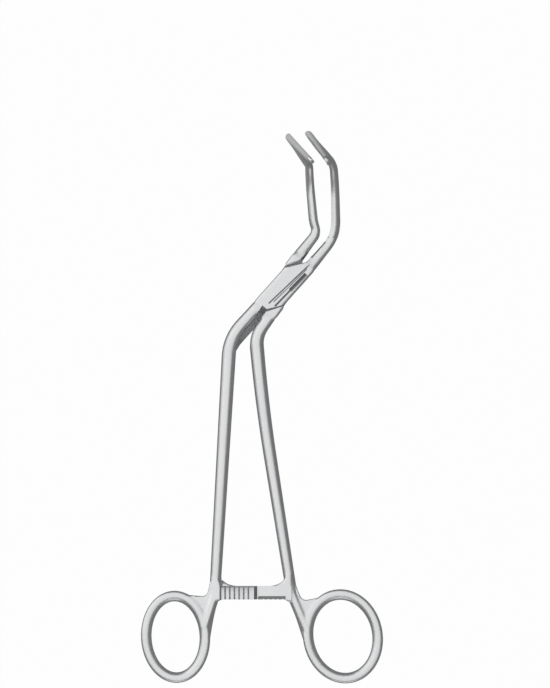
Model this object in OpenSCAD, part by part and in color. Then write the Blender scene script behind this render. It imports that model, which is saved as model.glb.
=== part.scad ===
/* [Opening] */
// Angle between the two halves as the clamp lies, from the closed position
open_angle = 5.5; // [0:0.5:30]

/* [Box lock] */
// Direction of the lock from the X axis, when closed
lock_lean = 51; // [40:1:60]
// Width of the lock across its walls
lock_w = 10; // [8.6:0.2:12]
// Thickness of the lock over both walls
lock_t = 6.4; // [5.6:0.2:8]
// Thickness of the flat tongue that runs through the box
tongue_t = 2.4; // [1.8:0.1:2.8]
// Distance from the pivot to each slanted cut across the box walls
wall_cut_reach = 7.3; // [6.6:0.1:9]
// Angle between the slanted cuts and the lock
wall_cut_slant = 35; // [30:1:45]
// Half length of the solid lock, from the pivot to where shank and jaw begin
lock_reach = 16; // [15:0.5:20]
// Running clearance between tongue and box
lock_clear = 0.08; // [0.05:0.01:0.15]
// Width of the bevel along the long edges of the box walls
wall_bevel = 0.9; // [0.4:0.1:1.4]
// Width of that bevel, across the wall's face
wall_bevel_w = 2.4; // [1:0.1:3]

/* [Pivot pin] */
// Diameter of the pin
pin_d = 4; // [3:0.1:4.6]
// Running clearance of the pin in the tongue, on the diameter
pin_clear = 0.06; // [0.03:0.01:0.12]

/* [Jaw path] */
// Distance from the pivot to the corner of the lower bend
root_reach = 26; // [24:0.5:32]
// Turn of the lower bend
lower_bend = 42.3; // [35:0.5:50]
// Radius of the lower bend, on the grip line
lower_bend_r = 9; // [7:0.5:14]
// Length of the jaw stem from the lower to the upper corner, seen from above
stem_len = 28.2; // [26:0.2:34]
// Turn of the upper bend
upper_bend = 35.2; // [25:0.5:45]
// Radius of the upper bend, on the grip line
upper_bend_r = 6; // [5:0.5:10]
// Slope of the jaw stem
stem_slope = 2; // [0:0.5:4]
// Radius of the belly, where the jaw turns up
belly_r = 22.5; // [18:0.5:26]
// Slope of the jaw above the belly
rise_slope = 61.5; // [50:0.5:65]
// Height of the apex corner above the belly corner
apex_rise = 28; // [25:0.5:34]
// Radius of the apex bend
apex_r = 12; // [10:0.5:14]
// Turn of the apex bend
apex_bend = 58.8; // [50:0.5:70]
// Length of the tip from the apex corner to its end
tip_len = 29; // [24:0.5:34]

/* [Jaw section] */
// Width of the jaw at its stem
jaw_w = 5.05; // [4.6:0.05:5.6]
// Width of the jaw at its tip
jaw_tip_w = 4.2; // [3.8:0.05:4.6]
// Thickness of the jaw at the lower bend
jaw_t = 3.75; // [3.2:0.05:4.4]
// Thickness of the jaw at its tip
jaw_tip_t = 2; // [1.6:0.05:2.6]
// Gap between the two grip faces at the tip, when closed
closed_gap = 0.4; // [0.1:0.05:0.8]
// How far each stem is bowed out, so that the tips meet first
stem_bow = 1.25; // [0.4:0.05:1.6]

/* [Grip teeth] */
// Length of one tooth
tooth_pitch = 0.9; // [0.8:0.05:1.2]
// Depth of the teeth
tooth_depth = 0.22; // [0.1:0.01:0.3]
// Depth of the channels beside a row of teeth
channel_depth = 0.4; // [0.3:0.05:0.6]
// Width of one row of teeth
row_w = 0.95; // [0.7:0.05:1.1]
// Distance of the two outer rows from the middle of the face
outer_row_at = 0.95; // [0.9:0.05:1.05]
// Width of the smooth rail on each edge of the face
rail_w = 0.55; // [0.4:0.05:0.6]
// Width of the bevel outside each rail
rail_bevel = 0.5; // [0.3:0.05:0.6]

/* [Shanks] */
// Distance from the pivot to the corner of the bend, on the box half
box_bend_reach = 30; // [28:0.5:34]
// Distance from the pivot to the corner of the bend, on the tongue half
tongue_bend_reach = 22.8; // [22:0.1:28]
// Turn of the bend on the box half
box_bend = 38.4; // [34:0.2:44]
// Turn of the bend on the tongue half
tongue_bend = 41.2; // [38:0.2:48]
// Further slow turn of the tongue half's shank along its length
tongue_sweep = 4; // [0:0.2:8]
// Length of the shank on the box half, from the bend's corner to the ratchet
box_shank_len = 101; // [90:0.2:115]
// Length of the shank on the tongue half, from the bend's corner to the ratchet
tongue_shank_len = 102.6; // [90:0.2:115]
// Width of the shanks below the bend
shank_w = 5.7; // [5:0.1:6.4]
// Width of the shanks above the ratchet
shank_end_w = 4.5; // [4:0.1:5]
// Thickness of the shanks below the bend
shank_t = 4.8; // [4:0.1:5.4]
// Thickness of the shanks at the rings
shank_end_t = 3.9; // [3.4:0.1:4.4]

/* [Finger rings] */
// Half width of the box half's ring, to the middle of its bar
box_ring_half_w = 11.7; // [10.5:0.1:13]
// Half length of the box half's ring
box_ring_half_l = 16.3; // [14:0.1:18]
// Half width of the tongue half's ring
tongue_ring_half_w = 13.8; // [12:0.1:15]
// Half length of the tongue half's ring
tongue_ring_half_l = 16.8; // [14:0.1:18]
// Turn of the toe between the box half's shank and its ring
box_toe_turn = 14; // [10:1:22]
// Length of that toe
box_toe_len = 13.1; // [11:0.1:15]
// Turn of the toe between the tongue half's shank and its ring
tongue_toe_turn = 14; // [10:1:22]
// Length of that toe
tongue_toe_len = 15.3; // [13:0.1:17]
// Tilt of the box half's ring, when closed
box_ring_tilt = 5.8; // [0:0.2:10]
// Tilt of the tongue half's ring, when closed
tongue_ring_tilt = 8.2; // [0:0.2:12]
// Width of the ring's bar
ring_bar_w = 4.3; // [3.6:0.1:5]
// Thickness of the ring's bar
ring_bar_t = 3.8; // [3.2:0.1:4.4]
// Thickness of the web between ring and shank
web_t = 2.4; // [1.8:0.1:3]
// Radius of the web's hollow edges
web_fillet = 2.2; // [1.6:0.1:4]
// Distance of the web's corner from the end of the toe
web_corner = 12.4; // [10:0.1:14]

/* [Ratchet] */
// Length of the box half's arm, from the middle of its shank
box_arm_len = 15.9; // [14:0.1:16.2]
// Length of the tongue half's arm, from the middle of its shank
tongue_arm_len = 13.4; // [12:0.1:14]
// Height of the arms, along the shanks
arm_h = 5.4; // [4.6:0.1:6.2]
// Thickness over both arms
arms_t = 4.4; // [4:0.1:5]
// Length of one ratchet tooth
ratchet_pitch = 1.86; // [1.5:0.02:2.2]
// Number of ratchet teeth on each arm
ratchet_teeth = 7; // [5:1:7]
// Depth of the ratchet teeth
ratchet_depth = 0.85; // [0.5:0.05:1.1]
// Clearance between the points of the two rows of ratchet teeth
ratchet_clear = 0.12; // [0.08:0.01:0.3]

/* [Hidden] */
steel = [0.78, 0.79, 0.81];
pin_steel = [0.70, 0.71, 0.73];
half_open = open_angle / 2;
half_w = lock_w / 2;
// Tilt of the ratchet arms, so that they meet level as the clamp lies
arm_tilt = 2.75;
// Gap between the halves along the parting line in the lock, each side
part_gap = 0.1;
// Depth of the pin's ends below the walls' faces
pin_sink = 0.05;

// Where the slanted cuts cross the middle line and the edge of the lock
cut_mid = wall_cut_reach / sin(wall_cut_slant);
cut_edge = (wall_cut_reach - half_w * cos(wall_cut_slant)) / sin(wall_cut_slant);
bar_start = cut_mid + 0.5;
tongue_half_w = half_w - 0.4;
slot_t = tongue_t + 2 * lock_clear;
// Ends of the slanted line between the tongue and the solid ends of the box
heel_mid = cut_mid - 0.5;
heel_edge = cut_edge - 1.4;

// Plane curves: [x, y, heading] after a run, and along a chain of [run, turn]
function unit(a) = [cos(a), sin(a)];
function right_of(a) = [sin(a), -cos(a)];
function arc_run(r, turn) = r * abs(turn) * PI / 180;
function smooth(x) = let (c = max(0, min(1, x))) c * c * (3 - 2 * c);
function mix(a, b, x) = a + (b - a) * max(0, min(1, x));
function step(at, run, turn) =
    abs(turn) < 0.0001
    ? [at[0] + run * cos(at[2]), at[1] + run * sin(at[2]), at[2]]
    : let (r = run / (turn * PI / 180), h = at[2], k = at[2] + turn)
        [at[0] + r * (sin(k) - sin(h)), at[1] + r * (cos(h) - cos(k)), k];
function along(chain, s, at, i = 0) =
    i == len(chain) - 1 || s <= chain[i][0]
    ? step(at, s, chain[i][1] * s / chain[i][0])
    : along(chain, s - chain[i][0], step(at, chain[i][0], chain[i][1]), i + 1);
function runs(chain, n) = n == 0 ? 0 : chain[n - 1][0] + runs(chain, n - 1);
function turned(a, p) = [p[0] * cos(a) - p[1] * sin(a), p[0] * sin(a) + p[1] * cos(a)];
function lock_point(s, b) = s * unit(lock_lean) + b * right_of(lock_lean);

// Grip line seen from above, from the pivot
lower_tangent = lower_bend_r * tan(lower_bend / 2);
upper_tangent = upper_bend_r * tan(upper_bend / 2);
grip_start = [0, 0, lock_lean];
grip_plan = [
    [root_reach - lower_tangent, 0],
    [arc_run(lower_bend_r, lower_bend), lower_bend],
    [stem_len - lower_tangent - upper_tangent, 0],
    [arc_run(upper_bend_r, upper_bend), upper_bend],
    [tip_len, 0]
];

// Side curve of the jaw: distance along the grip line, height and slope
slope_run = 4;
belly_turn = rise_slope - stem_slope;
belly_tangent = belly_r * tan(belly_turn / 2);
apex_tangent = apex_r * tan(apex_bend / 2);
jaw_side = [
    [root_reach - bar_start, 0],
    [slope_run, stem_slope],
    [stem_len - slope_run - belly_tangent, 0],
    [arc_run(belly_r, belly_turn), belly_turn],
    [apex_rise / sin(rise_slope) - belly_tangent - apex_tangent, 0],
    [arc_run(apex_r, apex_bend), apex_bend],
    [tip_len - apex_tangent, 0]
];
jaw_run = runs(jaw_side, 7);
teeth_from = runs(jaw_side, 1);
belly_from = runs(jaw_side, 3);
apex_from = runs(jaw_side, 5);

// Size of the jaw along its length
tip_round = jaw_tip_w / 2;
teeth_to = jaw_run - tip_round;
function tip_part(t) = let (x = max(0, t - (jaw_run - tip_round)) / tip_round) sqrt(max(0.06, 1 - x * x));
function jaw_width(t) =
    t < teeth_from
    ? mix(lock_t - 0.5, jaw_w, t / teeth_from)
    : mix(jaw_w, jaw_tip_w, (t - belly_from) / (jaw_run - belly_from));
function jaw_thick(t) =
    t < teeth_from
    ? mix(half_w - 0.35, jaw_t, t / teeth_from)
    : mix(jaw_t, jaw_tip_t, (t - teeth_from) / (jaw_run - teeth_from));
function stem_offset(t) =
    let (
        out = smooth((t - teeth_from + lower_tangent) / 10),
        back = smooth((t - belly_from) / (apex_from - belly_from))
    )
    closed_gap / 2 + stem_bow * out * (1 - back);

// A point of the jaw: a across its width, b outwards from the grip line
function jaw_point(side, t, a, b) =
    let (
        c = along(jaw_side, t, [bar_start, 0, 0]),
        p = along(grip_plan, c[0] - a * sin(c[2]), grip_start),
        q = [p[0], p[1]] + side * (b + stem_offset(t)) * right_of(p[2])
    )
    [q[0], q[1], c[1] + a * cos(c[2])];

// Rows along the jaw: smooth root, toothed grip, rounded tip
root_rows = 8;
teeth_per_row = 2;
fine_per_row = 2 * teeth_per_row;
tooth_rows = floor((teeth_to - teeth_from) / (tooth_pitch * teeth_per_row));
tip_rows = 5;
rows = root_rows + tooth_rows + tip_rows;
grip_run = (teeth_to - teeth_from) / tooth_rows;
function row_at(i) =
    i <= root_rows ? teeth_from * i / root_rows
    : i <= root_rows + tooth_rows ? teeth_from + (i - root_rows) * grip_run
    : jaw_run - tip_round * (1 - sin(90 * (i - root_rows - tooth_rows) / tip_rows));
function first_fine(i) =
    i <= root_rows ? i : i <= root_rows + tooth_rows ? root_rows + fine_per_row * (i - root_rows)
    : root_rows + fine_per_row * tooth_rows + i - root_rows - tooth_rows;
function fine_at(k) =
    let (m = k - root_rows)
    m <= 0 ? row_at(k)
    : m <= fine_per_row * tooth_rows ? teeth_from + m * grip_run / fine_per_row
    : row_at(root_rows + tooth_rows + m - fine_per_row * tooth_rows);
function toothed(t) = t > teeth_from + 0.01 && t < teeth_to - 0.01;
function channel_at(t) = toothed(t) ? channel_depth : 0.04;

// Section of the jaw, from one channel's foot round the back to the other's
function jaw_outline(t) =
    let (
        k = tip_part(t),
        w = k * jaw_width(t) / 2,
        h = jaw_thick(t) * mix(0.6, 1, k),
        rail = w - k * rail_bevel,
        foot = rail - k * rail_w,
        half = [
            [foot, channel_at(t)],
            [foot, 0],
            [rail, 0],
            [w, 0.8 * k * rail_bevel],
            [w, 0.5 * h],
            [0.92 * w, 0.76 * h],
            [0.66 * w, 0.93 * h],
            [0.24 * w, h]
        ]
    )
    concat(half, [for (i = [7:-1:0]) [-half[i][0], half[i][1]]]);

// Rows of teeth across the face: [foot, top, top, foot] for each row's middle
function teeth_outline(t, high, middles) =
    let (k = tip_part(t), foot = channel_at(t), top = toothed(t) && !high ? tooth_depth : 0)
    [for (m = middles, e = [[-1, foot], [-1, top], [1, top], [1, foot]])
        [k * (m + e[0] * row_w / 2), e[1] == foot ? foot : min(e[1], foot - 0.02)]];

// Faces between a coarse row's end and the fine rows beside it
function fan(c0, c1, fine, first, last) =
    let (h = floor((last - first) / 2))
    concat(
        [for (j = [first:1:first + h - 1]) [c0, fine[j + 1], fine[j]]],
        [[c0, c1, fine[first + h]]],
        [for (j = [first + h:1:last - 1]) [c1, fine[j + 1], fine[j]]]
    );

// The whole jaw as one closed surface, with the rows of teeth in its face
module jaw(side, middles) {
    fine_rows = first_fine(rows);
    nf = 4 * len(middles);
    coarse = [for (i = [0:rows], p = jaw_outline(row_at(i))) jaw_point(side, row_at(i), p[0], p[1])];
    fine = [for (k = [0:fine_rows], p = teeth_outline(fine_at(k), (k - root_rows) % 2 == 0, middles))
        jaw_point(side, fine_at(k), p[0], p[1])];
    nc = 16;
    fine_base = (rows + 1) * nc;
    ends = [jaw_point(side, 0, 0, half_w / 2), jaw_point(side, jaw_run, 0, jaw_tip_t / 2)];
    end_base = fine_base + len(fine);
    left_col = [for (k = [0:fine_rows]) fine_base + k * nf];
    right_col = [for (k = [0:fine_rows]) fine_base + k * nf + nf - 1];
    skin = [for (i = [0:rows - 1], k = [0:nc - 2], f = quad(i * nc + k, (i + 1) * nc + k)) f];
    face = [for (i = [0:fine_rows - 1], k = [0:nf - 2])
        for (f = quad(fine_base + i * nf + k, fine_base + (i + 1) * nf + k)) f];
    seams = [for (i = [0:rows - 1])
        let (a = first_fine(i), b = first_fine(i + 1))
        for (f = concat(
            fan(i * nc + nc - 1, (i + 1) * nc + nc - 1, left_col, a, b),
            [for (g = fan(i * nc, (i + 1) * nc, right_col, a, b)) [g[0], g[2], g[1]]]
        )) f];
    loop0 = concat([for (k = [0:nc - 1]) k], [for (k = [0:nf - 1]) fine_base + k]);
    loop1 = concat([for (k = [0:nc - 1]) rows * nc + k], [for (k = [0:nf - 1]) fine_base + fine_rows * nf + k]);
    caps = [for (k = [0:len(loop0) - 1])
        let (m = (k + 1) % len(loop0))
        for (f = [[end_base, loop0[k], loop0[m]], [end_base + 1, loop1[m], loop1[k]]]) f];
    all = concat(skin, face, seams, caps);
    polyhedron(
        points = concat(coarse, fine, ends),
        faces = side > 0 ? all : [for (f = all) [f[2], f[1], f[0]]]
    );
}

// Two triangles between points a, a + 1 of one row and b, b + 1 of the next
function quad(a, b) = [[a, b, b + 1], [a, b + 1, a + 1]];

// Shanks seen from above, from their start in the lock to the toe in the ring
bend_r = [20, 12];
sweep_run = 45;
toe_r = 12;
shank_side = (half_w + part_gap) / 2;
function bend_tangent(r, turn) = r * tan(turn / 2);
box_tangent = bend_tangent(bend_r[0], box_bend);
tongue_tangent = bend_tangent(bend_r[1], tongue_bend);
box_shank = [
    [box_bend_reach - box_tangent - bar_start, 0],
    [arc_run(bend_r[0], box_bend), box_bend],
    [box_shank_len - box_tangent, 0],
    [arc_run(toe_r, box_toe_turn), -box_toe_turn],
    [box_toe_len, 0]
];
tongue_shank = [
    [tongue_bend_reach - tongue_tangent - bar_start, 0],
    [arc_run(bend_r[1], tongue_bend), tongue_bend],
    [sweep_run, tongue_sweep],
    [tongue_shank_len - tongue_tangent - sweep_run, 0],
    [arc_run(toe_r, tongue_toe_turn), tongue_toe_turn],
    [tongue_toe_len, 0]
];
function shank_start(side) = concat(lock_point(-bar_start, -side * shank_side), lock_lean + 180);
function oval(w, t, n, power) =
    [for (k = [0:n - 1]) let (c = cos(360 * k / n), s = sin(360 * k / n))
        [w / 2 * sign(c) * pow(abs(c), power), t / 2 * sign(s) * pow(abs(s), power)]];

// A bar swept along a flat path: sections[i] stands at stations[i] = [x, y, heading]
module swept_bar(stations, sections) {
    n = len(sections[0]);
    last = len(stations) - 1;
    points = [for (i = [0:last], p = sections[i])
        let (r = right_of(stations[i][2])) [stations[i][0] + p[0] * r[0], stations[i][1] + p[0] * r[1], p[1]]];
    skin = [for (i = [0:last - 1], k = [0:n - 1])
        let (m = (k + 1) % n)
        for (f = [
            [i * n + k, i * n + m, (i + 1) * n + m],
            [i * n + k, (i + 1) * n + m, (i + 1) * n + k]
        ]) f];
    caps = [[for (k = [n - 1:-1:0]) k], [for (k = [0:n - 1]) last * n + k]];
    polyhedron(points = points, faces = concat(skin, caps));
}

// Shank: squarish where it leaves the lock, oval below the bend, slimmer at the ring
shank_sides = 14;
module shank(chain, side) {
    count = len(chain);
    whole = runs(chain, count);
    bend_end = runs(chain, 2);
    at = concat(
        [for (i = [0:2]) chain[0][0] * i / 3],
        [for (i = [0:9]) chain[0][0] + chain[1][0] * i / 9],
        [for (i = [1:9]) bend_end + (runs(chain, count - 2) - bend_end) * i / 9],
        [for (i = [1:3]) runs(chain, count - 2) + chain[count - 2][0] * i / 3],
        [whole]
    );
    stations = [for (s = at) along(chain, s, shank_start(side))];
    sections = [for (s = at)
        let (
            f = (s - bend_end) / (whole - bend_end),
            w = s < bend_end ? mix(half_w - 0.3, shank_w, s / bend_end) : mix(shank_w, shank_end_w, f * 1.2),
            t = s < bend_end ? mix(lock_t - 0.5, shank_t, s / bend_end) : mix(shank_t, shank_end_t, f)
        )
        oval(w, t, shank_sides, mix(0.45, 0.75, s / bend_end))];
    swept_bar(stations, sections);
}

// Finger ring: an oval bar whose side meets the end of the shank's toe
ring_steps = 44;
ring_sides = 10;
function ring_centre(toe, outward, half_size, join, tilt) =
    [toe[0], toe[1]] - turned(tilt, [outward * half_size[0] * cos(join), half_size[1] * sin(join)]);
module finger_ring(centre, half_size, tilt) {
    bar = oval(ring_bar_w, ring_bar_t, ring_sides, 0.85);
    points = [for (i = [0:ring_steps - 1], p = bar)
        let (
            a = 360 * i / ring_steps,
            on = [half_size[0] * cos(a), half_size[1] * sin(a)],
            n = [half_size[1] * cos(a), half_size[0] * sin(a)],
            q = centre + turned(tilt, on + p[0] * n / norm(n))
        )
        [q[0], q[1], p[1]]];
    n = ring_sides;
    faces = [for (i = [0:ring_steps - 1], k = [0:n - 1])
        let (m = (k + 1) % n, j = (i + 1) % ring_steps)
        for (f = [[i * n + k, i * n + m, j * n + m], [i * n + k, j * n + m, j * n + k]]) f];
    polyhedron(points = points, faces = faces);
}

// Web that fills the corner between ring and shank, hollow at its edges
web_top = 66;
function beside(chain, side, s, out) =
    let (p = along(chain, s, shank_start(side)))
    [p[0], p[1]] + side * out * right_of(p[2]);
module web(centre, half_size, tilt, chain, side) {
    top = half_size + [ring_bar_w / 2 - 0.3, ring_bar_w / 2 - 0.3];
    count = len(chain);
    whole = runs(chain, count);
    from = whole - 2.2 * web_corner;
    spine = [for (i = [0:8]) along(chain, from + (whole - from) * i / 8, shank_start(side))];
    strip = concat(
        [for (p = spine) [p[0], p[1]] + 0.8 * right_of(p[2])],
        [for (i = [8:-1:0]) [spine[i][0], spine[i][1]] - 0.8 * right_of(spine[i][2])]
    );
    linear_extrude(height = web_t, center = true, convexity = 4)
        difference() {
            offset(r = -web_fillet, $fn = 32)
                offset(delta = web_fillet) {
                    polygon(strip);
                    polygon([
                        beside(chain, side, from, 0.4 * shank_end_w),
                        beside(chain, side, whole - web_corner, 0.58 * shank_end_w),
                        centre + turned(tilt, [side * top[0] * cos(web_top), top[1] * sin(web_top)]),
                        beside(chain, side, whole, 0)
                    ]);
                    ring_disc(centre, half_size, tilt, 0.8);
                }
            ring_disc(centre, half_size, tilt, -0.8);
        }
}
module ring_disc(centre, half_size, tilt, grow) {
    polygon([for (i = [0:ring_steps - 1])
        let (a = 360 * (i + 0.5) / ring_steps)
        centre + turned(tilt, [(half_size[0] + grow) * cos(a), (half_size[1] + grow) * sin(a)])]);
}

// Lock outlines, in a frame whose X axis runs up the lock; one half is the other's counterpart
heel_slope = (heel_mid - heel_edge) / tongue_half_w;
block_end = lock_reach + 2;
block_dive = 1.8;
block_taper = 1.4;
small_bevel = 0.6;
shoulder_gap = 0.15;
heel_gap = 0.15;
function half_turn(points) = concat(points, [for (p = points) -p]);
function cut_at(reach, y) = (reach - y * cos(wall_cut_slant)) / sin(wall_cut_slant);
box_outline = half_turn([
    [cut_at(wall_cut_reach, half_w), half_w],
    [cut_at(wall_cut_reach, -part_gap), -part_gap],
    [bar_start + 1, -part_gap],
    [block_end, -block_dive],
    [block_end, block_taper - half_w],
    [bar_start + 0.6, -half_w]
]);
shoulder_outline = [
    [cut_at(wall_cut_reach + shoulder_gap, half_w), half_w],
    [cut_at(wall_cut_reach + shoulder_gap, part_gap), part_gap],
    [bar_start + 1, part_gap],
    [block_end, block_dive],
    [block_end, half_w - block_taper],
    [bar_start + 0.6, half_w]
];
tongue_outline = half_turn([
    [heel_edge, -tongue_half_w],
    [heel_mid, 0],
    [bar_start, part_gap + 0.2],
    [bar_start, tongue_half_w]
]);
slot_outline = half_turn([
    [heel_mid + heel_gap, 0],
    [bar_start + 1, 0],
    [bar_start + 1, lock_w],
    [heel_slope * lock_w - heel_mid - heel_gap, lock_w]
]);
// Height of the block along the lock, and its bevelled cross-section
block_drop = 1.2;
block_side = half_turn([
    [-block_end, lock_t / 2 - block_drop],
    [-bar_start, lock_t / 2],
    [bar_start, lock_t / 2],
    [block_end, lock_t / 2 - block_drop]
]);
function block_section(bevel, wide) = [
    [small_bevel - half_w, -lock_t / 2],
    [half_w - small_bevel, -lock_t / 2],
    [half_w, small_bevel - lock_t / 2],
    [half_w, lock_t / 2 - small_bevel],
    [half_w - small_bevel, lock_t / 2],
    [wide - half_w, lock_t / 2],
    [-half_w, lock_t / 2 - bevel],
    [-half_w, small_bevel - lock_t / 2]
];
module lock_block(outline, bevel, wide) {
    intersection() {
        linear_extrude(height = lock_t + 2, center = true) polygon(outline);
        rotate([90, 0, 0])
            linear_extrude(height = lock_w + 2, center = true)
                polygon(block_side);
        rotate([90, 0, 90])
            linear_extrude(height = 2 * block_end + 2, center = true)
                polygon(block_section(bevel, wide));
    }
}
module bore(d) {
    cylinder(d = d, h = lock_t + 2, center = true, $fn = 64);
}

// Ratchet arm, pointing along X from the middle of its shank, teeth upwards
arm_low = -arms_t / 2;
arm_top = -ratchet_clear / 2;
arm_fillet = [1.4, 2.8];
arm_fillet_start = 0.6;
arm_drop = 1.2;
steep_run = 0.12;
arm_end_land = 0.5;
module ratchet_arm(len) {
    first = len - arm_end_land - ratchet_teeth * ratchet_pitch;
    teeth = [for (i = [0:ratchet_teeth - 1], p = [
        [first + i * ratchet_pitch, arm_top - ratchet_depth],
        [first + i * ratchet_pitch + steep_run, arm_top]
    ]) p];
    rotate([90, 0, 0])
        linear_extrude(height = arm_h, center = true)
            polygon(concat(
                [[0, arm_low], [0, arm_top - 0.3], [first - 0.2, arm_top - 0.3]],
                teeth,
                [[len, arm_top - ratchet_depth], [len, arm_low + 0.4], [len - 0.4, arm_low]]
            ));
    for (i = [0, 1])
        let (way = 2 * i - 1, r = arm_fillet[i])
            translate([0, way * arm_h / 2, arm_low])
                linear_extrude(height = arm_top - 0.4 - arm_low)
                    difference() {
                        translate([arm_fillet_start, i == 1 ? -0.4 : -r])
                            square([shank_end_w / 2 + r - arm_fillet_start, r + 0.4]);
                        translate([shank_end_w / 2 + r, way * r])
                            circle(r = r, $fn = 48);
                    }
}

box_join = 10;
tongue_join = 15;
box_size = [box_ring_half_w, box_ring_half_l];
tongue_size = [tongue_ring_half_w, tongue_ring_half_l];
box_toe = along(box_shank, runs(box_shank, 5), shank_start(1));
tongue_toe = along(tongue_shank, runs(tongue_shank, 6), shank_start(-1));
box_centre = ring_centre(box_toe, 1, box_size, box_join, box_ring_tilt);
tongue_centre = ring_centre(tongue_toe, -1, tongue_size, tongue_join, tongue_ring_tilt);
box_hub = along(box_shank, runs(box_shank, 3), shank_start(1));
tongue_hub = along(tongue_shank, runs(tongue_shank, 4), shank_start(-1));

module box_half() {
    color(steel)
        translate([0, 0, lock_t / 2])
            rotate([0, 0, -half_open])
                difference() {
                    union() {
                        jaw(1, [0]);
                        shank(box_shank, 1);
                        finger_ring(box_centre, box_size, box_ring_tilt);
                        web(box_centre, box_size, box_ring_tilt, box_shank, 1);
                        rotate([0, 0, lock_lean]) lock_block(box_outline, wall_bevel, wall_bevel_w);
                        rotate([0, 0, arm_tilt])
                            translate(turned(-arm_tilt, box_hub) - [0, arm_drop])
                                ratchet_arm(box_arm_len);
                    }
                    rotate([0, 0, lock_lean])
                        linear_extrude(height = slot_t, center = true)
                            polygon(slot_outline);
                    bore(pin_d);
                }
}

module tongue_half() {
    color(steel)
        translate([0, 0, lock_t / 2])
            rotate([0, 0, half_open])
                difference() {
                    union() {
                        jaw(-1, [-outer_row_at, outer_row_at]);
                        shank(tongue_shank, -1);
                        finger_ring(tongue_centre, tongue_size, tongue_ring_tilt);
                        web(tongue_centre, tongue_size, tongue_ring_tilt, tongue_shank, -1);
                        rotate([0, 0, lock_lean]) {
                            for (turn = [0, 180])
                                rotate([0, 0, turn])
                                    lock_block(shoulder_outline, small_bevel, small_bevel);
                            linear_extrude(height = tongue_t, center = true)
                                polygon(tongue_outline);
                        }
                        rotate([0, 0, -arm_tilt])
                            translate(turned(arm_tilt, tongue_hub) - [0, arm_drop])
                                rotate([0, 180, 0]) ratchet_arm(tongue_arm_len);
                    }
                    bore(pin_d + pin_clear);
                }
}

module pivot_pin() {
    color(pin_steel)
        translate([0, 0, pin_sink])
            cylinder(d = pin_d, h = lock_t - 2 * pin_sink, $fn = 64);
}

box_half();
tongue_half();
pivot_pin();
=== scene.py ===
"""Looks of the vascular clamp: two satin steel halves that cross in a box lock, and the pin
between them."""

import math

import bmesh
import bpy
import numpy as np
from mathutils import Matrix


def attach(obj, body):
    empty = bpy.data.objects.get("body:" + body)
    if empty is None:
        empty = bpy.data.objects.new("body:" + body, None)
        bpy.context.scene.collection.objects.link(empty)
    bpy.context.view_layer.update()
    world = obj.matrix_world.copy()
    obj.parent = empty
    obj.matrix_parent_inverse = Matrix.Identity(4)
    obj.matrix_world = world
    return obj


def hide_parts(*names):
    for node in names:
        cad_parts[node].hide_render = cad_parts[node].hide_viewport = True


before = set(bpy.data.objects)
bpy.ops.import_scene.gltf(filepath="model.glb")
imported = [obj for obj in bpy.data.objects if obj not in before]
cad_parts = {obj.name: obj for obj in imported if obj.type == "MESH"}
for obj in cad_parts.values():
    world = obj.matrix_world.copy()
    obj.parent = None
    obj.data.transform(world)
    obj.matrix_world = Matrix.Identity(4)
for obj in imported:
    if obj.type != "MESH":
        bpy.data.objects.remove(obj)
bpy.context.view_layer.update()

MM = 0.001


def tangent(r, turn):
    """The run from a bend's corner to the start of its arc, r tan(turn / 2)."""
    return r * math.tan(math.radians(turn / 2))


def arc(r, turn):
    """One bend of a chain: its run is the radius times the turn in radians."""
    return (r * abs(math.radians(turn)), turn)


# Sizes in millimetres and degrees, the same as in the solids unless a comment says otherwise
half_open = 2.75
lock_lean = 51.0
lock_w = 10.0
half_w = lock_w / 2
lock_t = 6.4
tongue_t = 2.4
wall_cut_reach = 7.3
wall_cut_slant = math.radians(35)
lock_clear = 0.08
part_gap = 0.1
cut_gap = 0.15
pin_d = 4.0
pin_clear = 0.06
pin_edge = 0.02
cut_mid = wall_cut_reach / math.sin(wall_cut_slant)
slot_half = cut_mid - 0.5
bar_start = cut_mid + 0.5

# The jaws: runs and bends of the grip line, seen from above, and of the side curve
root_len, stem_len, tip_len = 26.0, 28.2, 29.0
lower_r, lower_turn = 9.0, 42.3
upper_r, upper_turn = 6.0, 35.2
lower_tangent, upper_tangent = tangent(lower_r, lower_turn), tangent(upper_r, upper_turn)
lift_len, stem_slope = 4.0, 2.0
rise_height, rise_slope = 28.0, 61.5
belly_r, belly_turn = 22.5, rise_slope - stem_slope
apex_r, apex_turn = 12.0, 58.8
belly_tangent, apex_tangent = tangent(belly_r, belly_turn), tangent(apex_r, apex_turn)
grip_start = (0.0, 0.0, lock_lean)
grip_plan = [
    (root_len - lower_tangent, 0),
    arc(lower_r, lower_turn),
    (stem_len - lower_tangent - upper_tangent, 0),
    arc(upper_r, upper_turn),
    (tip_len, 0),
]
jaw_side = [
    (root_len - bar_start, 0),
    (lift_len, stem_slope),
    (stem_len - lift_len - belly_tangent, 0),
    arc(belly_r, belly_turn),
    (rise_height / math.sin(math.radians(rise_slope)) - belly_tangent - apex_tangent, 0),
    arc(apex_r, apex_turn),
    (tip_len - apex_tangent, 0),
]
jaw_run = sum(p[0] for p in jaw_side)
teeth_from = jaw_side[0][0]
belly_from = sum(p[0] for p in jaw_side[:3])
apex_from = sum(p[0] for p in jaw_side[:5])
jaw_w, jaw_tip_w, jaw_t, jaw_tip_t = 5.05, 4.2, 3.75, 2.0
closed_gap = 0.4
stem_bow = 1.25
tip_round = jaw_tip_w / 2

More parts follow.
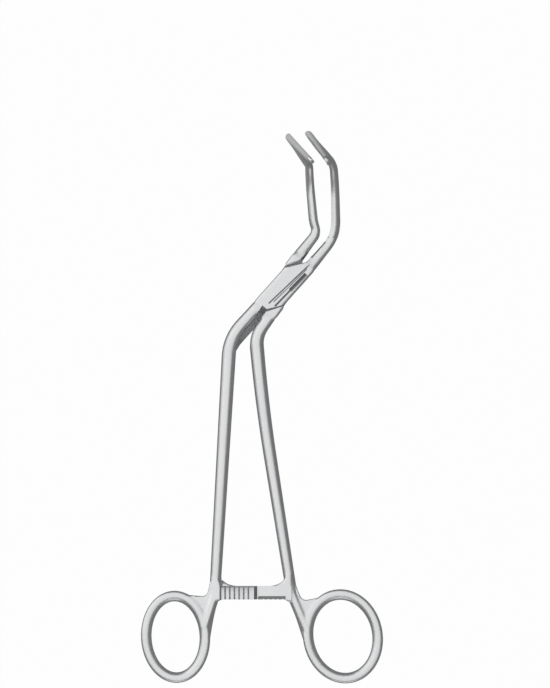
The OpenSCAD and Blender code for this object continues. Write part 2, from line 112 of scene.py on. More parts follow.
# The shanks: each goes from the lock round one bend and down to the toe that meets its ring
box_bend_r, box_bend = 20.0, 38.4
tongue_bend_r, tongue_bend = 12.0, 41.2
bow_len, bow_turn = 45.0, 4.0
toe_r, toe_turn = 12.0, 14
box_tangent, tongue_tangent = tangent(box_bend_r, box_bend), tangent(tongue_bend_r, tongue_bend)
box_shank = [
    (30.0 - box_tangent - bar_start, 0),
    arc(box_bend_r, box_bend),
    (101.0 - box_tangent, 0),
    arc(toe_r, -toe_turn),
    (13.1, 0),
]
tongue_shank = [
    (22.8 - tongue_tangent - bar_start, 0),
    arc(tongue_bend_r, tongue_bend),
    (bow_len, bow_turn),
    (102.6 - tongue_tangent - bow_len, 0),
    arc(toe_r, toe_turn),
    (15.3, 0),
]
shank_w, shank_end_w, shank_t, shank_end_t = 5.7, 4.5, 4.8, 3.9
box_ring, box_join, box_tilt = (11.7, 16.3), 10, 5.8
tongue_ring, tongue_join, tongue_tilt = (13.8, 16.8), 15, 8.2
ring_bar_w, ring_bar_t = 4.3, 3.8

# The webs are thicker than in the solids, which have 2.4 mm
web_t = 3.2
web_corner = 12.4

arm_h, arms_t, arm_tilt, arm_drop = 5.4, 4.4, 2.75, 1.2
box_arm_len, tongue_arm_len = 15.9, 13.4
ratchet_pitch, ratchet_teeth, ratchet_depth, ratchet_clear = 1.86, 7, 0.85, 0.12

# How finely the shapes are made: points round a section, the grid that melts a half together,
# and the angle from which an edge stays sharp
section_points = 28
circle_points = 64
melt_grid = 0.32
sharp_from = math.radians(32)


def smooth(x):
    """The smooth step 3 x^2 - 2 x^3 from 0 to 1."""
    c = np.clip(x, 0, 1)
    return c * c * (3 - 2 * c)


def mix(a, b, x):
    """The straight line from a at x = 0 to b at x = 1, level outside."""
    return a + (b - a) * np.clip(x, 0, 1)


def walk(chain, s, start):
    """Places along a chain of (run, turn) pieces: a straight piece goes on by its run along the
    heading h, and a bend of radius r = run / turn by r (sin k - sin h, cos h - cos k), where k is
    the heading after it."""
    left = np.asarray(s, float).copy()
    x, y = np.full(left.shape, float(start[0])), np.full(left.shape, float(start[1]))
    h = np.full(left.shape, math.radians(start[2]))
    for i, (run, turn) in enumerate(chain):
        low = -np.inf if i == 0 else 0.0
        high = np.inf if i == len(chain) - 1 else run
        part = np.clip(left, low, high)
        if abs(turn) < 1e-6:
            x, y = x + part * np.cos(h), y + part * np.sin(h)
        else:
            r = run / math.radians(turn)
            k = h + part / r
            x, y, h = x + r * (np.sin(k) - np.sin(h)), y + r * (np.cos(h) - np.cos(k)), k
        left = left - run
    return x, y, h


def chain_length(chain):
    """The run of a whole chain."""
    return sum(p[0] for p in chain)


def turned(angle, x, y):
    """The point (x, y) turned by an angle in degrees round the origin."""
    c, s = math.cos(math.radians(angle)), math.sin(math.radians(angle))
    return x * c - y * s, x * s + y * c


def jaw_point(side, t, a, b):
    """Points of a jaw, t along it, a across its width and b outwards from its grip face: the side
    curve gives the place u, the height z and the slope p at t, the grip line gives the point and
    heading at u - a sin p, and the point stands side (b + offset) to the right of that line, at
    the height z + a cos p."""
    u, z, p = walk(jaw_side, t, (bar_start, 0, 0))
    x, y, h = walk(grip_plan, u - a * np.sin(p), grip_start)
    out = smooth((t - teeth_from + lower_tangent) / 10)
    back = smooth((t - belly_from) / (apex_from - belly_from))
    far = side * (b + closed_gap / 2 + stem_bow * out * (1 - back))
    return np.stack([x + far * np.sin(h), y - far * np.cos(h), z + a * np.cos(p)], -1)


def tip_part(t):
    """The share of the full section that is left in the rounded tip, the quarter circle
    sqrt(1 - x^2)."""
    x = np.clip(t - (jaw_run - tip_round), 0, tip_round) / tip_round
    return np.sqrt(np.maximum(0.02, 1 - x * x))


def jaw_sizes(t):
    """Width and thickness of a jaw along it, two straight tapers each."""
    root = t / teeth_from
    w_share = (t - belly_from) / (jaw_run - belly_from)
    h_share = (t - teeth_from) / (jaw_run - teeth_from)
    w = np.where(t < teeth_from, mix(lock_t - 0.5, jaw_w, root), mix(jaw_w, jaw_tip_w, w_share))
    h = np.where(t < teeth_from, mix(half_w - 0.35, jaw_t, root), mix(jaw_t, jaw_tip_t, h_share))
    return w, h


def shell(points, ring=False):
    """Vertices and faces of a closed surface from a grid of points: each row is a closed section.
    The end rows are joined to each other if the path is a ring, and otherwise each is closed by a
    fan round its middle."""
    rows, cols = points.shape[:2]
    verts = points.reshape(-1, 3)
    i, k = np.meshgrid(np.arange(rows if ring else rows - 1), np.arange(cols), indexing="ij")
    j, m = (i + 1) % rows, (k + 1) % cols
    quads = np.stack([i * cols + k, i * cols + m, j * cols + m, j * cols + k], -1)
    faces = quads.reshape(-1, 4).tolist()
    if not ring:
        verts = np.vstack([verts, points[0].mean(0), points[-1].mean(0)])
        k = np.arange(cols)
        m = (k + 1) % cols
        last = (rows - 1) * cols
        faces += np.stack([m, k, np.full(cols, rows * cols)], -1).tolist()
        faces += np.stack([last + k, last + m, np.full(cols, rows * cols + 1)], -1).tolist()
    return verts, faces


def prism(outline, low, high):
    """A straight prism over a flat outline, from one height to another."""
    n = len(outline)
    flat = np.asarray(outline, float)
    verts = np.vstack([np.c_[flat, np.full(n, low)], np.c_[flat, np.full(n, high)]])
    k = np.arange(n)
    m = (k + 1) % n
    walls = np.stack([k, m, m + n, k + n], -1).tolist()
    return verts, [k[::-1].tolist(), (k + n).tolist()] + walls


def circle(r):
    """Points (r cos a, r sin a) round a full turn."""
    a = 2 * np.pi * np.arange(circle_points) / circle_points
    return np.c_[r * np.cos(a), r * np.sin(a)]


def placed(part, turn=0.0, at=(0, 0, 0)):
    """A part turned by an angle round Z and then moved."""
    v, f = part
    x, y = turned(turn, v[:, 0], v[:, 1])
    return np.stack([x + at[0], y + at[1], v[:, 2] + at[2]], -1), f


def piece(name, parts, open_turn):
    """One mesh from several closed surfaces, turned to the half's open place and lifted on to its
    lower wall."""
    verts, faces, base = [], [], 0
    for v, f in parts:
        verts.append(v)
        faces += [[q + base for q in g] for g in f]
        base += len(v)
    v, f = placed((np.vstack(verts), faces), open_turn, (0, 0, lock_t / 2))
    mesh = bpy.data.meshes.new(name)
    mesh.from_pydata((v * MM).tolist(), [], f)
    work = bmesh.new()
    work.from_mesh(mesh)
    bmesh.ops.recalc_face_normals(work, faces=work.faces)
    work.to_mesh(mesh)
    work.free()
    made = bpy.data.objects.new(name, mesh)
    bpy.context.scene.collection.objects.link(made)
    return made


def in_lock(name, parts, open_turn):
    """One piece for each part, all of them drawn along the lock's own leaning axis."""
    return [piece(name, [placed(p, lock_lean)], open_turn) for p in parts]


def settled(made, *helpers):
    """The piece with its modifiers turned into its mesh, and without the shapes that cut it."""
    bpy.context.view_layer.update()
    seen = made.evaluated_get(bpy.context.evaluated_depsgraph_get())
    mesh = bpy.data.meshes.new_from_object(seen)
    made.modifiers.clear()
    made.data = mesh
    for h in helpers:
        bpy.data.objects.remove(h)
    return made


def combined(made, other, how):
    """A cut or a union with another closed shape."""
    step = made.modifiers.new(how.lower(), "BOOLEAN")
    step.operation, step.object, step.solver = how, other, "MANIFOLD"
    return made


def shaded(made):
    """The piece with smooth faces and with its sharp edges kept."""
    made.data.shade_smooth()
    made.data.set_sharp_from_angle(angle=sharp_from)
    return made


def oval(w, t, n, power):
    """Section points (w/2 c^p, t/2 s^p) with c and s the cosine and sine round a full turn, signs
    kept."""
    a = 2 * np.pi * np.arange(n) / n
    c, s = np.cos(a), np.sin(a)
    return w / 2 * np.sign(c) * np.abs(c) ** power, t / 2 * np.sign(s) * np.abs(s) ** power


def shank_start(side):
    """Where a shank's middle line starts in the lock, heading down the clamp."""
    x, y = turned(lock_lean, -bar_start, side * (half_w + part_gap) / 2)
    return (x, y, lock_lean + 180)


def beside(chain, side, runs, offsets):
    """Points at some runs along a shank's middle line, each offset to one side of it."""
    x, y, h = walk(chain, np.array(runs), shank_start(side))
    out = side * np.array(offsets)
    return np.stack([x + out * np.sin(h), y - out * np.cos(h)], -1)


def shank(chain, side):
    """A bar along a shank's chain: its section goes from a squarish oval in the lock to a slimmer
    rounder one."""
    whole, bend_end = chain_length(chain), chain[0][0] + chain[1][0]
    s = np.linspace(0, whole, 260)[:, None]
    x, y, h = walk(chain, s, shank_start(side))
    e = s / bend_end
    f = (s - bend_end) / (whole - bend_end)
    in_bend = s < bend_end
    w = np.where(in_bend, mix(half_w - 0.3, shank_w, e), mix(shank_w, shank_end_w, 1.2 * f))
    t = np.where(in_bend, mix(lock_t - 0.5, shank_t, e), mix(shank_t, shank_end_t, f))
    a, z = oval(w, t, section_points, mix(0.6, 0.78, e))
    return shell(np.stack([x + a * np.sin(h), y - a * np.cos(h), z + 0 * x], -1))


def ring_spot(side, half_size, tilt, angle, far=0.0):
    """The place of a point at an angle of a tilted ring, from the ring's middle, with both half
    sizes grown by far."""
    c, s = math.cos(math.radians(angle)), math.sin(math.radians(angle))
    return turned(tilt, side * (half_size[0] + far) * c, (half_size[1] + far) * s)


def ring_centre(chain, side, half_size, join, tilt):
    """Middle of a finger ring, whose side meets the end of the toe."""
    x, y, _ = walk(chain, chain_length(chain), shank_start(side))
    dx, dy = ring_spot(side, half_size, tilt, join)
    return x - dx, y - dy


def finger_ring(centre, half_size, tilt):
    """A bar along an ellipse (A cos a, B sin a), spread along the ellipse's own normal: its
    section is an oval on the inner side and squarer on the outer side."""
    a = (2 * np.pi * np.arange(140) / 140)[:, None]
    n = np.hypot(half_size[1] * np.cos(a), half_size[0] * np.sin(a))
    inner_p, inner_z = oval(ring_bar_w, ring_bar_t, section_points, 0.95)
    outer_p, outer_z = oval(ring_bar_w, ring_bar_t, section_points, 0.42)
    p, z = np.where(inner_p < 0, inner_p, outer_p), np.where(inner_p < 0, inner_z, outer_z)
    x = half_size[0] * np.cos(a) + p * half_size[1] * np.cos(a) / n
    y = half_size[1] * np.sin(a) + p * half_size[0] * np.sin(a) / n
    x, y = turned(tilt, x, y)
    return shell(np.stack([x + centre[0], y + centre[1], z + 0 * x], -1), ring=True)


def bent(a, c, b, n=12):
    """The curve (1-q)^2 a + 2 q (1-q) c + q^2 b, which leaves a towards the corner c and comes to
    b from it."""
    q = np.linspace(0, 1, n)[:, None]
    return (1 - q) ** 2 * np.asarray(a) + 2 * q * (1 - q) * np.asarray(c) + q * q * np.asarray(b)


def web(chain, side, centre, half_size, tilt):
    """The flat webs between shank and ring. The larger one fills the corner over the ring:
    straight edges from the shank and from the ring to a corner, which is rounded off. The thinner
    one rounds out the join on the other side of the toe."""
    whole, middle = chain_length(chain), np.array(centre)
    far = ring_bar_w / 2 - 0.35
    round_off = 2.4
    spots = beside(chain, side, [whole - 22, whole - web_corner, whole - 1], [1.7, 2.65, 0.0])
    b = np.array(ring_spot(side, half_size, tilt, 66, far)) + middle
    c = spots[1]
    first, second = (spots[0] - c) / np.hypot(*(spots[0] - c)), (b - c) / np.hypot(*(b - c))
    turn = bent(c + round_off * first, c, c + round_off * second)
    corner = prism(np.vstack([spots[:1], turn, [b], spots[2:]]), -web_t / 2, web_t / 2)

    flank_z = 1.1
    spots = beside(chain, side, [whole - 11, whole - 4, whole - 5], [-2.1, -2.35, 0.5])
    b = np.array(ring_spot(side, half_size, tilt, -14, far + 0.1)) + middle
    inside = np.array(ring_spot(side, half_size, tilt, -14)) + middle
    edge = np.vstack([bent(spots[0], spots[1], b), [inside], spots[2:]])
    return corner, prism(edge, -flank_z, flank_z)


def ratchet_arm(length, nose):
    """The ratchet arm's side drawn in its own plane, teeth upwards, each a steep front, a level
    land and a sloping back. A low nose can stand out at the end."""
    low, top = -arms_t / 2, -ratchet_clear / 2
    first = length - 0.5 - ratchet_teeth * ratchet_pitch
    i = np.arange(ratchet_teeth)
    feet = np.c_[first + i * ratchet_pitch, np.full(ratchet_teeth, top - ratchet_depth)]
    tips = feet + [0.12, ratchet_depth]
    lands = tips + [1.22, -0.05]
    teeth = np.stack([feet, tips, lands], 1).reshape(-1, 2)
    start = [[0, low], [0, top - 0.3], [first - 0.2, top - 0.3]]
    end = [[length - 0.35, top - 0.05], [length, top - 0.5], [length, low + 0.3 + nose]]
    end += [[length + nose, low + 0.3], [length + nose - 0.6, low]]
    v, f = prism(np.vstack([start, teeth, end]), -arm_h / 2, arm_h / 2)
    return np.stack([v[:, 0], v[:, 2], v[:, 1]], -1), f


def arm_root():
    """The foot of a ratchet arm: it spreads in two curves from the arm's height to the shank."""
    top = arm_h / 2
    lower = bent((1.0, -top - 1.0), (2.0, -top - 0.1), (3.8, -top))
    upper = bent((9.0, top), (3.0, top + 0.5), (1.9, top + 4.6))
    outline = np.vstack([lower, upper, [[0, top + 4.6], [0, -top - 1.0]]])
    return prism(outline, -arms_t / 2, -1.0)


def arm_shoulder():
    """The low block beside the box half's arm, which its last tooth runs out into."""
    top = arm_h / 2
    outline = [
        [0.4, -top - 0.3], [2.3, -top - 0.3], [2.3, top + 0.2], [1.9, top + 1.6], [0.4, top + 3]]
    return prism(outline, -1.2, 2.1)


def arm_shave(side):
    """A cutter that slopes one long edge of an arm: the upper edge on the box half and the lower
    edge on the tongue half."""
    top, high = arm_h / 2, arms_t / 2
    if side > 0:
        return wedge(2.2, box_arm_len + 2, top - 0.85, top + 2.6, -0.06, -2.2, 6)
    return wedge(-tongue_arm_len - 2, -2.2, -top + 1.4, -top - 0.6, high, high - 2.6, 6)


def jaw_root(side):
    """The plain start of a jaw, from the lock to its first teeth: a squarish oval section."""
    t = np.linspace(0, teeth_from + 2.5, 80)[:, None]
    w, h = jaw_sizes(t)
    less = 1 - 0.25 * smooth((t - teeth_from + 0.5) / 3)
    a, b = oval(w * less, h * less, section_points, 0.6)
    return shell(jaw_point(side, t + 0 * a, a, b + h / 2))


def jaw_grip(side, middles, pitch=0.62, row_w=0.95):
    """The toothed jaw: the section runs over the rounded back, the bevels, the smooth rails and
    down into the channels, where each row of cross teeth rises and falls as a cosine along the
    jaw."""
    t = np.arange(teeth_from - 2, jaw_run + 0.01, 0.13)[:, None]
    w, h = jaw_sizes(t)
    k = tip_part(t)
    k = k * (0.93 + 0.07 * smooth((t - teeth_from + 2) / 2.5))
    w, h = k * w / 2, h * mix(0.6, 1, k)
    on = smooth((t - teeth_from) / 0.4) * smooth((jaw_run - tip_round - t) / 0.4)
    notch = np.exp(-(((t - teeth_from) / 0.25) ** 2)) * 0.35
    back = np.linspace(0, np.pi, 19)[1:-1]
    one = np.ones_like(t)
    a_side = [w - k * 0.5, w - k * 0.42, 0.985 * w, w]
    b_side = [0 * one + notch, 0.05 * one + notch, 0.28 * h, 0.3 * h]
    foot = w - k * 1.05
    floor = 0.4 * on
    a_face, b_face = [-foot - 0.04, -foot + 0.04], [notch, floor + notch]
    for m in middles:
        wave = 0.5 + 0.5 * np.cos(2 * np.pi * (t - teeth_from) / pitch)
        crest = on * (0.03 + 0.2 * wave)
        for e, b in ((-1, floor), (-0.8, crest), (0.8, crest), (1, floor)):
            a_face.append(k * (m + e * row_w / 2) + 0 * t)
            b_face.append(b + 0 * t)
    a_face += [foot - 0.04, foot + 0.04]
    b_face += [floor + notch, notch]
    a_back = np.sign(np.cos(back)) * np.abs(np.cos(back)) ** 0.72 * w
    b_back = h * (0.3 + 0.7 * np.sin(back) ** 0.85)
    a = np.hstack([-a_side[0], *a_face, *a_side, a_back, -a_side[3], -a_side[2], -a_side[1]])
    b = np.hstack([b_side[0], *b_face, *b_side, b_back, b_side[3], b_side[2], b_side[1]])
    return shell(jaw_point(side, t + 0 * a, a, b))


def cut_at(reach, v):
    """Where the slanted cut at that distance from the pivot crosses the height v over the lock's
    middle line."""
    return (reach - v * math.cos(wall_cut_slant)) / math.sin(wall_cut_slant)


def both_ways(points):
    """An outline and the same turned half round the pivot."""
    p = np.asarray(points, float)
    return np.vstack([p, -p])


def vee(start, end, width, depth, top=lock_t / 2):
    """A cutter for a groove with sloping sides between two points of a face: its floor is a line
    that is drawn in from the ends by half the width, and its sides go on upwards at the same
    slope."""
    a, b = np.array(start, float), np.array(end, float)
    d = (b - a) / np.hypot(*(b - a))
    n = np.array([-d[1], d[0]]) * width / 2
    e = d * width / 2
    rise = 1.0
    grow = 1 + rise / depth
    low_a, low_b = a + e, b - e
    high = [low_a - e * grow + n * grow, low_a - e * grow - n * grow]
    high += [low_b + e * grow - n * grow, low_b + e * grow + n * grow]
    verts = [[*q, top + rise] for q in high] + [[*low_a, top - depth], [*low_b, top - depth]]
    return np.array(verts), [[0, 1, 2, 3], [0, 4, 1], [1, 4, 5, 2], [2, 5, 3], [3, 5, 4, 0]]


def wedge(x0, x1, y0, y1, z_edge, z_deep, z_far):
    """A cutter that slopes from the height z_edge at y0 to z_deep at y1, between x0 and x1, and is
    open above."""
    side = ((y0, z_edge), (y1, z_deep), (y1, z_far), (y0, z_far))
    verts = [[x, *q] for x in (x0, x1) for q in side]
    walls = [[0, 4, 5, 1], [1, 5, 6, 2], [2, 6, 7, 3], [3, 7, 4, 0]]
    return np.array(verts), [[0, 1, 2, 3], [7, 6, 5, 4]] + walls


def rounded_block(reach, width, thick, edge):
    """The lock as a bar along its own axis, with a squarish section and drawn-in ends."""
    s = np.linspace(-reach, reach, 90)[:, None]
    beyond = np.abs(s) - 11.5
    draw = 1 - 0.3 * smooth(beyond / 4.5)
    a, z = oval(width * draw, thick * (1 - 0.2 * smooth(beyond / 5)), 40, edge)
    return shell(np.stack([s + 0 * a, a, z], -1))


def lock_lines():
    """The grooves of the lock's upper face: two fine long ones and the wider slot beside them."""
    return [
        vee((-9.4, 0.05), (19.5, -2.35), 0.6, 0.2),
        vee((-7.6, -1.0), (11.0, -2.2), 0.4, 0.13),
        vee((0.2, -2.85), (9.3, -3.25), 1.5, 0.6),
        vee((-8.6, -2.55), (1.6, -2.95), 0.8, 0.3),
    ]


cut_all = 9
side_far = 19.0


def box_cutters():
    """What is cut from the box half, drawn along the lock: both quarters where the tongue half's
    forging lies, the room for the tongue, the face's grooves, the dip beside the shank and the
    groove along the upper cut."""
    reach = wall_cut_reach
    gone = both_ways([
        [cut_at(reach, half_w + 3), half_w + 3], [cut_at(reach, -part_gap), -part_gap],
        [side_far, -part_gap], [side_far, cut_all]])
    slot_end = slot_half + 0.15
    slope = (slot_half - (cut_at(reach, half_w) - 1.4)) / (half_w - 0.4)
    room = both_ways([
        [slot_end, 0], [bar_start + 1, 0], [bar_start + 1, lock_w],
        [slope * lock_w - slot_end, lock_w]])
    room_z = tongue_t / 2 + lock_clear
    return [
        prism(gone[:4], -cut_all, cut_all),
        prism(gone[4:], -cut_all, cut_all),
        prism(room, -room_z, room_z),
        *lock_lines(),
        vee((-11.6, 0.1), (-24.0, 0.1), 2.6, 1.9),
        vee((cut_at(reach, 6), 6), (cut_mid + 0.9, -0.4), 0.9, 0.5),
    ]


def tongue_cutters():
    """What is cut from the tongue half, drawn along the lock: the box between its two ends, the
    groove along the upper cut, the dip beside the jaw, the heels' corners, and the relief over
    the other half's lip."""
    reach = wall_cut_reach + cut_gap
    gone = both_ways([
        [cut_at(reach, half_w + 3), half_w + 3], [cut_at(reach, part_gap), part_gap],
        [side_far, part_gap], [side_far, -cut_all]])
    corner = np.array([[4.6, 5.4], [8.8, 5.4], [4.6, 3.9]])
    return [
        prism(gone, -cut_all, cut_all),
        vee((cut_at(reach, 6), 6), (cut_mid + 1.0, -0.3), 0.9, 0.5),
        vee((11.4, 0.1), (24.0, 0.1), 2.4, 1.8),
        prism(corner, -cut_all, cut_all),
        prism(-corner, -cut_all, cut_all),
        prism([[-9.0, 0.4], [-34.0, 0.4], [-34.0, -3.1], [-9.0, -3.1]], -cut_all, -1.3),
        prism([[-13.4, 0.4], [-34.0, 0.4], [-34.0, -3.1], [-13.4, -3.1]], -cut_all, 0.75),
    ]


def box_lip():
    """The low shelf under the crossing shanks and its long lip, whose top slopes down across
    it."""
    ledge = prism([[-11.3, 0.6], [-14.2, 0.6], [-14.2, -1.5], [-11.3, -1.1]], -2.8, -1.5)
    outline = [
        [-13.7, 1.0], [-13.7, -1.6], [-17.0, -2.2], [-20.1, -2.4], [-23.0, -2.4],
        [-26.5, -2.35], [-29.5, -2.4], [-32.6, -2.95], [-31.0, -0.6], [-26.0, 1.0]]
    lip = prism(outline, -2.6, 0.9)
    upper = len(outline)
    lip[0][upper:, 2] += 0.97 * (lip[0][upper:, 1] - 0.5)
    return [ledge, lip]


def tongue():
    """The flat tongue through the box, with a slanted heel on both sides of the pivot."""
    edge = half_w - 0.4
    heel = cut_at(wall_cut_reach, half_w) - 1.4
    flat = both_ways([
        [heel, -edge], [slot_half, 0], [bar_start, part_gap + 0.2], [bar_start, edge]])
    return [prism(flat, -tongue_t / 2, tongue_t / 2)]


def half(name, side, chain, ring_size, join, tilt, arm_length, middles):
    """One half: its soft shapes are melted together on a fine grid, then the lock's flat faces are
    cut, and the arm, the grip and the lock's own parts are joined on."""
    open_turn = -side * half_open
    centre = ring_centre(chain, side, ring_size, join, tilt)
    toe = chain[:-2]
    hub = walk(chain, chain_length(toe), shank_start(side))
    lean = side * arm_tilt
    arm_x, arm_y = turned(-lean, hub[0], hub[1])
    at = (*turned(lean, arm_x, arm_y - arm_drop), 0)
    root, arm = arm_root(), ratchet_arm(arm_length, 1.0 if side > 0 else 0.0)
    if side < 0:
        root, arm = ((v * [-1, 1, -1], f) for v, f in (root, arm))

    parts = [shank(chain, side), finger_ring(centre, ring_size, tilt), jaw_root(side)]
    parts += web(chain, side, centre, ring_size, tilt)
    parts.append(placed(rounded_block(16.0, lock_w, lock_t, 0.16), lock_lean))
    parts.append(placed(root, lean, at))
    if side > 0:
        parts.append(placed(arm_shoulder(), lean, at))
    body = piece(name, parts, open_turn)
    grid = body.modifiers.new("grid", "REMESH")
    grid.mode, grid.voxel_size = "VOXEL", melt_grid * MM
    soften = body.modifiers.new("soften", "SMOOTH")
    soften.factor, soften.iterations = 0.5, 11
    body = settled(body)

    tools = in_lock("cut", box_cutters() if side > 0 else tongue_cutters(), open_turn)
    for tool in tools:
        combined(body, tool, "DIFFERENCE")
    body = settled(body, *tools)
    bar = piece("arm", [placed(arm, lean, at)], open_turn)
    trim = piece("trim", [placed(arm_shave(side), lean, at)], open_turn)
    body = settled(combined(body, trim, "DIFFERENCE"))
    bar = settled(combined(bar, trim, "DIFFERENCE"), trim)

    extra = [bar, piece("grip", [jaw_grip(side, middles)], open_turn)]
    extra += in_lock("lock_part", box_lip() if side > 0 else tongue(), open_turn)
    for other in extra:
        combined(body, other, "UNION")
    body = settled(body, *extra)
    bore_r = pin_d / 2 + (pin_clear / 2 if side < 0 else 0)
    bore = piece("bore", [prism(circle(bore_r), -5, 5)], open_turn)
    return shaded(settled(combined(body, bore, "DIFFERENCE"), bore))


def pivot_pin():
    """The pin, flush with both walls of the box and cut by the same grooves as the box's face."""
    r, edge_r, top = pin_d / 2, pin_d / 2 - pin_edge, lock_t / 2 - pin_edge
    hub = 0.02
    profile = np.array([
        [hub, -top], [edge_r, -top], [r, pin_edge - top], [r, top - pin_edge], [edge_r, top],
        [hub, top]])
    a = 2 * np.pi * np.arange(circle_points) / circle_points
    x, y = profile[:, :1] * np.cos(a), profile[:, :1] * np.sin(a)
    made = piece("pin_steel", [shell(np.stack([x, y, profile[:, 1:] + 0 * a], -1))], 0)
    tools = in_lock("cut", lock_lines(), -half_open)
    for tool in tools:
        combined(made, tool, "DIFFERENCE")
    return shaded(settled(made, *tools))


box_half = half("box_half_steel", 1, box_shank, box_ring, box_join, box_tilt, box_arm_len, [0.0])
tongue_half = half("tongue_half_steel", -1, tongue_shank, tongue_ring, tongue_join, tongue_tilt,
                   tongue_arm_len, [-0.95, 0.95])
pin = pivot_pin()

for made, node, body in ((box_half, "box_half", "box_body"),
                         (tongue_half, "tongue_half", "tongue_body"),
                         (pin, "pivot_pin", "box_body")):
    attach(made, body)
    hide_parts(node)


def srgb(code):
    """A hex colour in linear values."""
    c = np.array([int(code[i:i + 2], 16) for i in (1, 3, 5)]) / 255
    return (*np.where(c <= 0.04045, c / 12.92, ((c + 0.055) / 1.055) ** 2.4).tolist(), 1.0)


def node(tree, kind, settings=None, **links):
    """One node with its settings and inputs, each named, or i and its number. A value sets an
    input, and an output socket is linked to it."""
    made = tree.nodes.new(kind)
    for key, value in (settings or {}).items():
        setattr(made, key, value)
    for key, value in links.items():
        numbered = key[0] == "i" and key[1:].isdigit()
        put = made.inputs[int(key[1:]) if numbered else key.replace("_", " ")]
        if isinstance(value, bpy.types.NodeSocket):
            tree.links.new(value, put)
        else:
            put.default_value = value
    return made


def sum_of(tree, first, second):
    """The sum of two node outputs or values."""
    return node(tree, "ShaderNodeMath", {"operation": "ADD"}, i0=first, i1=second).outputs[0]


def product_of(tree, first, second):
    """The product of two node outputs or values."""
    return node(tree, "ShaderNodeMath", {"operation": "MULTIPLY"}, i0=first, i1=second).outputs[0]


def empty_material(name):
    """A new material and its node tree without nodes."""
    made = bpy.data.materials.new(name)
    made.use_nodes = True
    made.node_tree.nodes.clear()
    return made, made.node_tree


def satin_steel(name, base, deep, rough):
    """Hardened stainless steel, glass-bead blasted and then satin brushed: a soft even sheen with
    faint streaks along the clamp and slight clouding. The scales are noise cells to the metre:
    streaks about 0.4 mm across, grain about 0.2 mm and clouds about 14 mm, where the real streaks
    and grain are finer still."""
    made, tree = empty_material(name)
    place = node(tree, "ShaderNodeTexCoord").outputs["Object"]
    along = node(tree, "ShaderNodeMapping", i0=place, i3=(1.0, 0.14, 1.0)).outputs[0]
    streak = node(tree, "ShaderNodeTexNoise", Vector=along, Scale=2600.0, Detail=3.0,
                  Roughness=0.6).outputs[0]
    grain = node(tree, "ShaderNodeTexNoise", Vector=place, Scale=5200.0, Detail=2.0,
                 Roughness=0.5).outputs[0]
    cloud = node(tree, "ShaderNodeTexNoise", Vector=place, Scale=70.0, Detail=3.0,
                 Roughness=0.5).outputs[0]
    tone = node(tree, "ShaderNodeMix", {"data_type": "RGBA"}, i0=cloud, i6=srgb(deep),
                i7=srgb(base)).outputs[2]
    shine = node(tree, "ShaderNodeMapRange", Value=cloud, From_Min=0.3, From_Max=0.7,
                 To_Min=rough - 0.04, To_Max=rough + 0.05).outputs[0]
    bump = node(tree, "ShaderNodeBump", Strength=0.035, Distance=0.00004,
                Height=sum_of(tree, streak, grain)).outputs[0]
    steel = node(tree, "ShaderNodeBsdfPrincipled", Base_Color=tone, Metallic=1.0, Roughness=shine,
                 Normal=bump)
    node(tree, "ShaderNodeOutputMaterial", Surface=steel.outputs[0])
    return made


# The halves' satin finish: pale and evenly lit, with soft edges to its highlights
steel = satin_steel("satin_brushed_stainless_steel", "#E2E3E4", "#D6D7D8", 0.34)

# The pin's head was finished with the face of the lock and can hardly be told from it
pin_metal = satin_steel("ground_stainless_steel_pin", "#E2E3E4", "#D6D7D8", 0.34)

# Painted shade: the faces in the lock's recesses and the sloping sides of its grooves get this
# darker grey steel, which stands in for the shade that falls there and draws the lock's lines; it
# is also rougher
inner = satin_steel("painted_shade_steel_in_the_recesses", "#A9AAAC", "#98999B", 0.55)


def painted_shade_faces(made, turn):
    """1 for the faces that lie in the lock's recesses, 0 for all others: in the lock's own frame
    they are the faces inside the slot, below the upper wall, and the sloping faces of the
    grooves. The faces marked 1 get the darker steel that paints shade into them."""
    n = len(made.data.polygons)
    mid, up = np.empty(n * 3), np.empty(n * 3)
    made.data.polygons.foreach_get("center", mid)
    made.data.polygons.foreach_get("normal", up)
    mid, tilt = mid.reshape(-1, 3) / MM, up.reshape(-1, 3)[:, 2]
    u, v = turned(-lock_lean - turn, mid[:, 0], mid[:, 1])
    z = mid[:, 2] - lock_t / 2
    inside = (np.abs(u) < 15.5) & (np.abs(v) < half_w - 0.25) & (np.abs(z) < 1.9)
    inside &= np.abs(tilt) > 0.9
    slot = (u > -8) & (u < 10) & (v < -1.85) & (v > -4.1) & (z > 1.7) & (tilt < 0.9)
    fine = (u > -10) & (u < 20) & (v < 0.4) & (v > -2.75) & (z > 2.7)
    fine &= (tilt < 0.93) & (tilt > 0.3)
    return (inside | slot | fine).astype(np.int32)


# The faces in the lock's recesses take the second, darker material: painted shade
for made, metal, turn in ((box_half, steel, -half_open), (tongue_half, steel, half_open),
                          (pin, pin_metal, -half_open)):
    made.data.materials.clear()
    made.data.materials.append(metal)
    made.data.materials.append(inner)
    made.data.polygons.foreach_set("material_index", painted_shade_faces(made, turn))


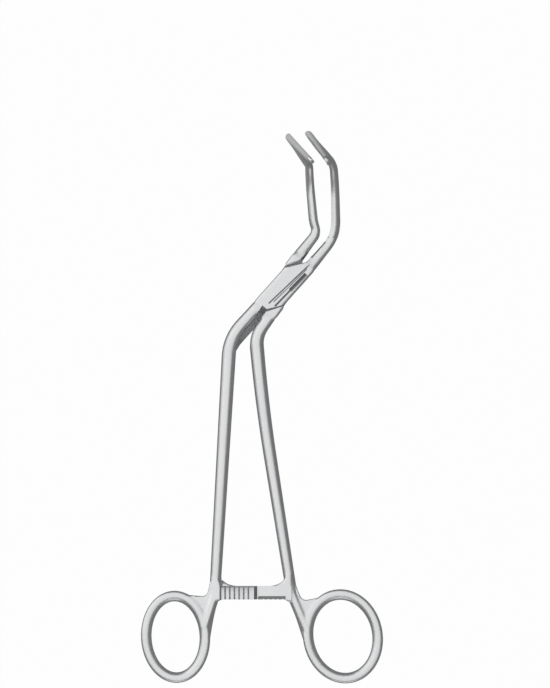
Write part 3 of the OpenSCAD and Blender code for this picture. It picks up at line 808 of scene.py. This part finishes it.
def plain_floor():
    """A pale board: white to the camera, grey in the steel's own reflections, with a light shadow.
    Beyond the jaws a round patch of it glows white, seen only in the steel's reflections: a
    painted reflection on the raised jaw ends."""
    made, tree = empty_material("pale_board")
    board = node(tree, "ShaderNodeBsdfDiffuse", Color=srgb("#868686"))
    white = node(tree, "ShaderNodeEmission", Color=(1, 1, 1, 1), Strength=1.0)
    path = node(tree, "ShaderNodeLightPath")
    place = node(tree, "ShaderNodeTexCoord").outputs["Object"]
    away = node(tree, "ShaderNodeVectorMath", {"operation": "DISTANCE"}, i0=place,
                i1=(-0.06, 0.12, 0.0)).outputs["Value"]
    # Painted reflection: near the jaws the floor glows white in glossy rays only, fading outwards
    reflection_glow_patch = node(tree, "ShaderNodeMapRange", {"interpolation_type": "SMOOTHSTEP"}, Value=away,
                From_Min=0.05, From_Max=0.12, To_Min=0.6, To_Max=0.1).outputs[0]
    mirrored = sum_of(tree, path.outputs["Is Glossy Ray"], path.outputs["Is Transmission Ray"])
    glossy = product_of(tree, mirrored, reflection_glow_patch)
    seen = product_of(tree, path.outputs["Is Camera Ray"], 0.985)
    both = node(tree, "ShaderNodeMixShader", i0=sum_of(tree, seen, glossy), i1=board.outputs[0],
                i2=white.outputs[0])
    node(tree, "ShaderNodeOutputMaterial", Surface=both.outputs[0])
    return made


floor_half = 3
floor_mesh = bpy.data.meshes.new("floor")
corners = [(x * floor_half, y * floor_half, 0) for x, y in ((-1, -1), (1, -1), (1, 1), (-1, 1))]
floor_mesh.from_pydata(corners, [], [(0, 1, 2, 3)])
floor = bpy.data.objects.new("floor", floor_mesh)
bpy.context.scene.collection.objects.link(floor)
floor_mesh.materials.append(plain_floor())
floor.location.z = -0.0004

world = bpy.data.worlds.new("studio")
bpy.context.scene.world = world
world.use_nodes = True
world_tree = world.node_tree
world_tree.nodes.clear()
path = node(world_tree, "ShaderNodeLightPath")
dim = node(world_tree, "ShaderNodeBackground", Color=(1, 1, 1, 1), Strength=0.21)
white = node(world_tree, "ShaderNodeBackground", Color=(1, 1, 1, 1), Strength=1.0)
both = node(world_tree, "ShaderNodeMixShader", i0=path.outputs["Is Camera Ray"],
            i1=dim.outputs[0], i2=white.outputs[0])
node(world_tree, "ShaderNodeOutputWorld", Surface=both.outputs[0])


def lamp(name, at, size, power, aim=(0, -0.02, 0)):
    """A soft square lamp that faces a point of the clamp."""
    light = bpy.data.lights.new(name, "AREA")
    light.shape, light.size, light.energy = "SQUARE", size, power
    made = bpy.data.objects.new(name, light)
    bpy.context.scene.collection.objects.link(made)
    made.location = at
    gap = np.array(aim) - np.array(at)
    tip = math.atan2(math.hypot(gap[0], gap[1]), -gap[2])
    made.rotation_euler = (tip, 0, math.atan2(gap[0], -gap[1]) + math.pi)
    return made


lamp("top_lamp", (-0.2, 0.05, 1.3), 1.5, 6.2)
lamp("side_lamp", (-0.97, 0.45, 0.6), 1.35, 4.2)
lamp("front_lamp", (0.0, -1.2, 0.6), 0.8, 1.6)

# The camera looks straight down: its view is view_size metres high at the clamp's middle
camera_gap = 6.0
sensor = 36
view_size = 0.2752
camera_data = bpy.data.cameras.new("camera")
camera = bpy.data.objects.new("camera", camera_data)
bpy.context.scene.collection.objects.link(camera)
camera.location = (-0.0038, -0.0232, camera_gap + lock_t / 2 * MM)
camera_data.sensor_width = sensor
camera_data.lens = sensor * camera_gap / view_size
camera_data.clip_start, camera_data.clip_end = 0.1, 60
bpy.context.scene.camera = camera
bpy.context.scene.view_settings.view_transform = "Standard"
